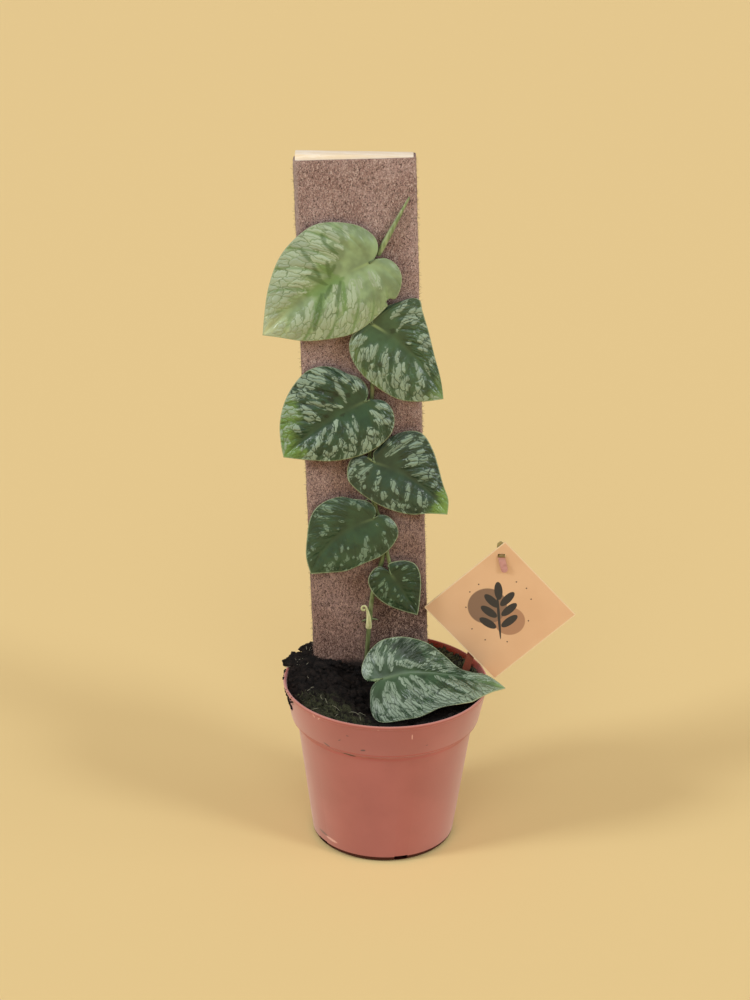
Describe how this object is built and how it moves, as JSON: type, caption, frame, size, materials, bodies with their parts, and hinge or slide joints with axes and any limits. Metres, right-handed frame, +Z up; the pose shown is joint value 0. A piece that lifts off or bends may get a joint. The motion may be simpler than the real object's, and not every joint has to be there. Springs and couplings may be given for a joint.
{
  "type": "potted shingle plant",
  "caption": "Young climbing shingle plant on a felt-covered board that stands in a round plastic nursery pot of soil, with a square card tag on a plastic stake",
  "frame": {"origin": "centre of the flat pad under the pot, on the surface it rests on", "axes": "+Z is up through the pot, -Y is the front that the leaves face, +X is to the right seen from the front"},
  "size_m": [0.1832, 0.12, 0.4107],
  "materials": {
    "pot": "satin terracotta-coloured polypropylene",
    "soil": "damp peat and bark mix",
    "board_core": "raw sawn softwood",
    "board_cover": "matted mauve-brown felt",
    "vine_stem": "smooth green stem",
    "new_leaf_spear": "rolled young leaf",
    "leaf_1": "satin young leaf, silver between the veins",
    "leaf_2": "satin leaf, silver between the veins",
    "leaf_3": "satin leaf, silver between the veins",
    "leaf_4": "satin leaf, silver between the veins",
    "leaf_5": "glossy leaf, silver between the veins",
    "leaf_6": "satin leaf with pale flecks",
    "leaf_7": "satin leaf, silver between the veins",
    "tag_card": "uncoated peach-tan card with a plain printed pattern",
    "tag_stake": "thin translucent brown-pink plastic"
  },
  "bodies": {
    "root": {"pot": "pot", "soil": "soil", "board_core": "board_core", "board_cover": "board_cover", "vine_stem": "vine_stem", "new_leaf_spear": "new_leaf_spear", "leaf_1": "leaf_1", "leaf_2": "leaf_2", "leaf_3": "leaf_3", "leaf_4": "leaf_4", "leaf_5": "leaf_5", "leaf_6": "leaf_6", "leaf_7": "leaf_7", "tag_card": "tag_card", "tag_stake": "tag_stake"}
  },
  "joints": []
}
